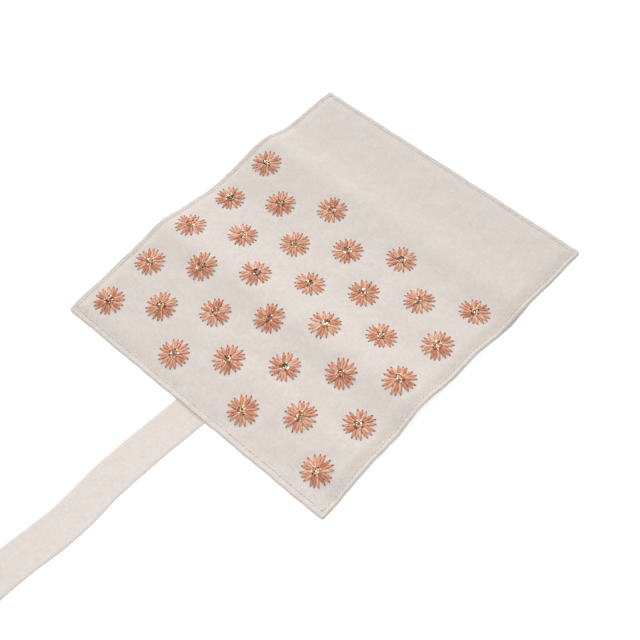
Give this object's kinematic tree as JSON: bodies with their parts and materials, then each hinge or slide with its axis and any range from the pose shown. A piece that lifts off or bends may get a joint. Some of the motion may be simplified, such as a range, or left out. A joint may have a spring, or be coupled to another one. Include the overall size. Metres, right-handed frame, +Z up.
{
  "type": "jewelry roll",
  "caption": "Tri-fold cloth jewelry roll lying open, daisy embroidery outside, zip pockets and a ring bar with a snap inside, with a cloth tie.",
  "frame": {"origin": "on the table under the middle of the opened roll, the tie left out", "axes": "+X along the tie edge, +Y from the tie edge to the flap edge, +Z up out of the embroidered side"},
  "size_m": [0.2162, 0.4849, 0.0186],
  "materials": {
    "shell_cloth": "matte off-white cotton and linen cloth with a fine fleck",
    "tie_cloth": "the shell's cloth, doubled, matte",
    "lining_cloth": "plain cream lining, soft sheen",
    "interlining": "white felted interlining",
    "pocket_cloth": "plain cream pocket cloth",
    "embroidery_thread": "copper and peach satin stitch with small metallic beads",
    "zip_tape": "woven tape",
    "zip_coil": "moulded coil",
    "zip_metal": "polished light brass",
    "snap_metal": "polished light brass"
  },
  "bodies": {
    "middle_panel": {"shell_middle": "shell_cloth", "interlining_middle": "interlining", "lining_middle": "lining_cloth", "pocket_back_middle": "pocket_cloth", "zip_tape_middle": "zip_tape", "zip_coil_middle": "zip_coil", "flower_5_1": "embroidery_thread", "flower_5_2": "embroidery_thread", "flower_5_3": "embroidery_thread", "flower_5_4": "embroidery_thread", "flower_6_1": "embroidery_thread", "flower_6_2": "embroidery_thread", "flower_6_3": "embroidery_thread", "flower_7_1": "embroidery_thread", "flower_7_2": "embroidery_thread", "flower_7_3": "embroidery_thread", "flower_7_4": "embroidery_thread", "flower_8_1": "embroidery_thread", "flower_8_2": "embroidery_thread", "flower_8_3": "embroidery_thread", "flower_9_1": "embroidery_thread", "flower_9_2": "embroidery_thread", "flower_9_3": "embroidery_thread", "flower_9_4": "embroidery_thread"},
    "flap": {"shell_flap": "shell_cloth", "interlining_flap": "interlining", "lining_flap": "lining_cloth"},
    "tie_panel": {"shell_tie_panel": "shell_cloth", "interlining_tie_panel": "interlining", "lining_tie_panel": "lining_cloth", "pocket_back_tie_panel": "pocket_cloth", "zip_tape_tie_panel": "zip_tape", "zip_coil_tie_panel": "zip_coil", "snap_stud": "snap_metal", "tie_sewn_end": "tie_cloth", "flower_1_1": "embroidery_thread", "flower_1_2": "embroidery_thread", "flower_1_3": "embroidery_thread", "flower_1_4": "embroidery_thread", "flower_2_1": "embroidery_thread", "flower_2_2": "embroidery_thread", "flower_2_3": "embroidery_thread", "flower_3_1": "embroidery_thread", "flower_3_2": "embroidery_thread", "flower_3_3": "embroidery_thread", "flower_3_4": "embroidery_thread", "flower_4_1": "embroidery_thread", "flower_4_2": "embroidery_thread", "flower_4_3": "embroidery_thread"},
    "tie": {"tie_free_stretch": "tie_cloth", "tie_folded_end": "tie_cloth"},
    "ring_bar": {"ring_bar_cover": "lining_cloth", "ring_bar_filling": "interlining", "snap_socket": "snap_metal", "snap_cap": "snap_metal"},
    "tie_panel_zip_slider": {"zip_slider_tie_panel": "zip_metal"},
    "tie_panel_zip_pull": {"zip_pull_tie_panel": "zip_metal"},
    "middle_zip_slider": {"zip_slider_middle": "zip_metal"},
    "middle_zip_pull": {"zip_pull_middle": "zip_metal"}
  },
  "joints": [
    {"name": "flap_fold", "type": "hinge", "parent": "middle_panel", "child": "flap", "pos_m": [0, 0.0568, -0.0015], "axis": [-1, 0, 0], "range_deg": [0, 180]},
    {"name": "tie_panel_fold", "type": "hinge", "parent": "middle_panel", "child": "tie_panel", "pos_m": [0, -0.03899, -0.0071], "axis": [1, 0, 0], "range_deg": [0, 180]},
    {"name": "tie_swing", "type": "hinge", "parent": "tie_panel", "child": "tie", "pos_m": [0.002, -0.1246, 0.0031], "axis": [1, 0, 0], "range_deg": [-160, 0]},
    {"name": "ring_bar_swing", "type": "hinge", "parent": "tie_panel", "child": "ring_bar", "pos_m": [-0.08401, -0.04711, 0.00889], "axis": [-0.0027, -0.9858, -0.1682], "range_deg": [-100, 0]},
    {"name": "tie_panel_zip_slide", "type": "slide", "parent": "tie_panel", "child": "tie_panel_zip_slider", "axis": [1, -0.0024, 0.001], "range_m": [-0.155, 0]},
    {"name": "tie_panel_zip_pull_swing", "type": "hinge", "parent": "tie_panel_zip_slider", "child": "tie_panel_zip_pull", "pos_m": [0.07849, -0.0723, 0.00373], "axis": [0.0024, 1, 0.0029], "range_deg": [-150, 0]},
    {"name": "middle_zip_slide", "type": "slide", "parent": "middle_panel", "child": "middle_zip_slider", "axis": [0.9997, -0.0037, 0.0222], "range_m": [-0.155, 0]},
    {"name": "middle_zip_pull_swing", "type": "hinge", "parent": "middle_zip_slider", "child": "middle_zip_pull", "pos_m": [0.07854, -0.02032, 0.00759], "axis": [0.0111, 0.9393, -0.3428], "range_deg": [-150, 0]}
  ]
}
